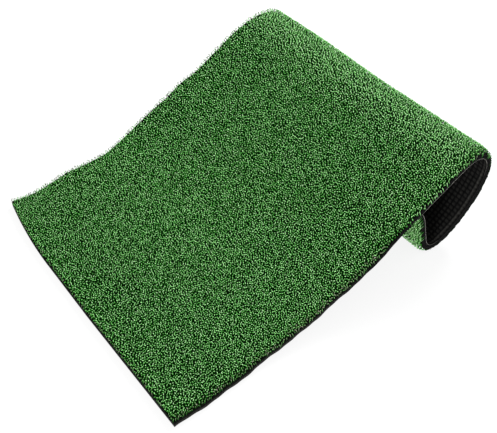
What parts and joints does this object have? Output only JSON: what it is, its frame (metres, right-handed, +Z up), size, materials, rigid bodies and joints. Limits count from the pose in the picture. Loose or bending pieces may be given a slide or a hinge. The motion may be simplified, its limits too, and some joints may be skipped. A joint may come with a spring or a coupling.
{
  "type": "golf hitting mat",
  "caption": "Short strip of curly green artificial turf on a black cushion pad, flat on the floor at one end and curled under itself at the other, to hit golf balls from.",
  "frame": {"origin": "on the floor, under the middle of the mat as it lies, which is the bottom centre of its box", "axes": "+X along the mat towards its curled end, +Y across its width, +Z up from the floor"},
  "size_m": [0.3912, 0.33, 0.112],
  "materials": {
    "rubber_foam": "matte black foamed rubber with a moulded grip lattice underneath",
    "latex_coat": "dark grey latex, dull",
    "backing_cloth": "black woven tape cloth",
    "turf_fibre": "short curly green synthetic fibre, dark at the roots and paler at the tips"
  },
  "bodies": {
    "root": {"cushion_pad": "rubber_foam", "tuft_lock_coat": "latex_coat", "primary_backing": "backing_cloth", "turf_pile": "turf_fibre"}
  },
  "joints": []
}
